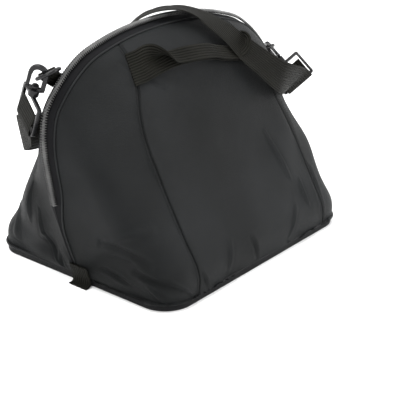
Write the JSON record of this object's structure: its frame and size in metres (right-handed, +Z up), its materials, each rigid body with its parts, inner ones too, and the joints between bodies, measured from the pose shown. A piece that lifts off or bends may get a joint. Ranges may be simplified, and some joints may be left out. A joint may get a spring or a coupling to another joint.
{
  "type": "motorcycle helmet bag",
  "caption": "Domed half-moon zip bag of black nylon on a rounded flat base, with a sewn grab handle and a webbing shoulder strap on snap hooks.",
  "frame": {"origin": "centre of the base's outline, on its underside", "axes": "+Z up, -Y to the front with the handle, +X to the right of one who faces the front from inside; the bag rests on the plane Z = 0"},
  "size_m": [0.4117, 0.2737, 0.2688],
  "materials": {
    "nylon": "matt woven nylon twill",
    "webbing": "ribbed polyester webbing",
    "zipper": "woven tape with a nylon coil",
    "plastic": "moulded, slightly glossy",
    "metal": "plated, worn"
  },
  "bodies": {
    "root": {"back_panel": "nylon", "base_panel": "nylon", "carry_handle": "webbing", "d_ring_left": "plastic", "d_ring_right": "plastic", "front_centre_panel": "nylon", "front_left_gore": "nylon", "front_piping": "nylon", "front_right_gore": "nylon", "ring_tab_left": "webbing", "ring_tab_right": "webbing", "shoulder_strap": "webbing", "snap_hook_left": "plastic", "snap_hook_right": "plastic", "strap_loop_left": "plastic", "strap_loop_right": "plastic", "zip_end_tab_left": "webbing", "zip_end_tab_right": "webbing", "zipper_coil": "zipper", "zipper_slider_1": "metal", "zipper_slider_2": "metal", "zipper_tape_back": "zipper", "zipper_tape_front": "zipper"},
    "gate_left": {"hook_gate_left": "plastic"},
    "gate_right": {"hook_gate_right": "plastic"},
    "pull_1": {"zipper_pull_1": "metal"},
    "pull_2": {"zipper_pull_2": "metal"}
  },
  "joints": [
    {"name": "gate_left_turn", "type": "hinge", "parent": "root", "child": "gate_left", "pos_m": [-0.18693, 0.01902, 0.22087], "axis": [0.8111, 0.5072, 0.2911], "range_deg": [0, 25], "stiffness_Nm_per_rad": 0.02},
    {"name": "gate_right_turn", "type": "hinge", "parent": "root", "child": "gate_right", "pos_m": [0.1944, -0.00781, 0.18356], "axis": [-0.7845, 0.4027, -0.4716], "range_deg": [0, 25], "stiffness_Nm_per_rad": 0.02},
    {"name": "pull_1_turn", "type": "hinge", "parent": "root", "child": "pull_1", "pos_m": [0.19203, 0.00143, 0.13236], "axis": [0.0002, -0.9986, 0.0522], "range_deg": [0, 150]},
    {"name": "pull_2_turn", "type": "hinge", "parent": "root", "child": "pull_2", "pos_m": [0.18961, 0.00012, 0.10694], "axis": [0.0027, -0.9986, 0.0519], "range_deg": [0, 150]}
  ]
}
